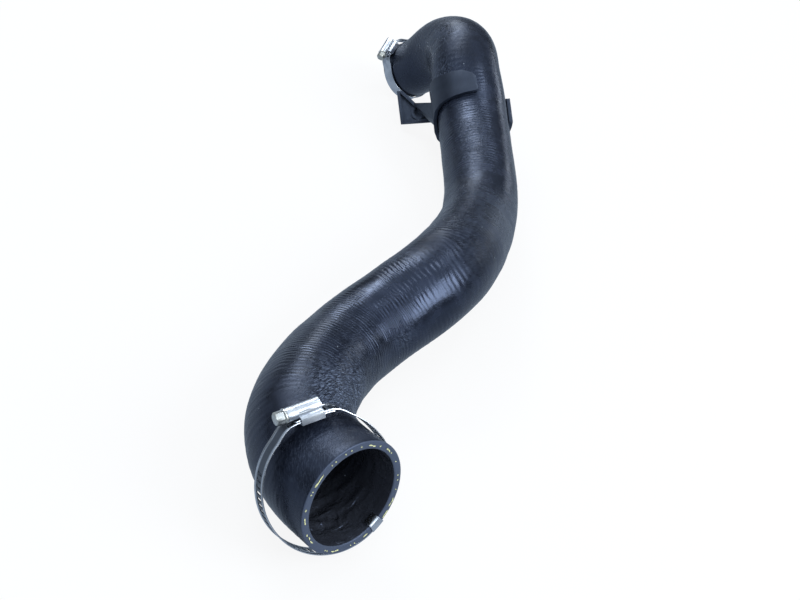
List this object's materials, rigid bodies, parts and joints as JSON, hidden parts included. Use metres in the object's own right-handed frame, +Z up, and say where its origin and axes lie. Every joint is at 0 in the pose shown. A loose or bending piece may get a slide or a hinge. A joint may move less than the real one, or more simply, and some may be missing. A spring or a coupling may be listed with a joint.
{
  "type": "charge air hose",
  "caption": "Moulded rubber charge air hose with two bends, worm drive clamps on both ends, a steel strip over one rim and a clip-on plastic holder.",
  "frame": {"origin": "on the floor, under the middle of the part's box", "axes": "+Z up, as the hose comes to rest on a floor; the hose runs from its near mouth at low X and Y to its far end at high X and Y"},
  "size_m": [0.4968, 0.47, 0.1132],
  "materials": {
    "hose_rubber": "satin",
    "clamp_zinc": "zinc plated",
    "clamp_screw": "zinc plated",
    "strip_steel": "bright rolled",
    "holder_plastic": "moulded"
  },
  "bodies": {
    "hose_body": {"hose": "hose_rubber", "near_clamp_band": "clamp_zinc", "near_clamp_housing": "clamp_zinc", "near_rim_clip": "strip_steel", "far_clamp_band": "clamp_zinc", "far_clamp_housing": "clamp_zinc", "hose_holder": "holder_plastic"},
    "near_screw": {"near_clamp_screw": "clamp_screw"},
    "far_screw": {"far_clamp_screw": "clamp_screw"}
  },
  "joints": [
    {"name": "near_screw_turn", "type": "hinge", "parent": "hose_body", "child": "near_screw", "pos_m": [-0.21269, -0.18634, 0.08853], "axis": [-0.9814, 0.1394, -0.1323], "continuous": true},
    {"name": "far_screw_turn", "type": "hinge", "parent": "hose_body", "child": "far_screw", "pos_m": [0.19858, 0.22768, 0.04835], "axis": [-0.7879, -0.4091, -0.4603], "continuous": true}
  ]
}
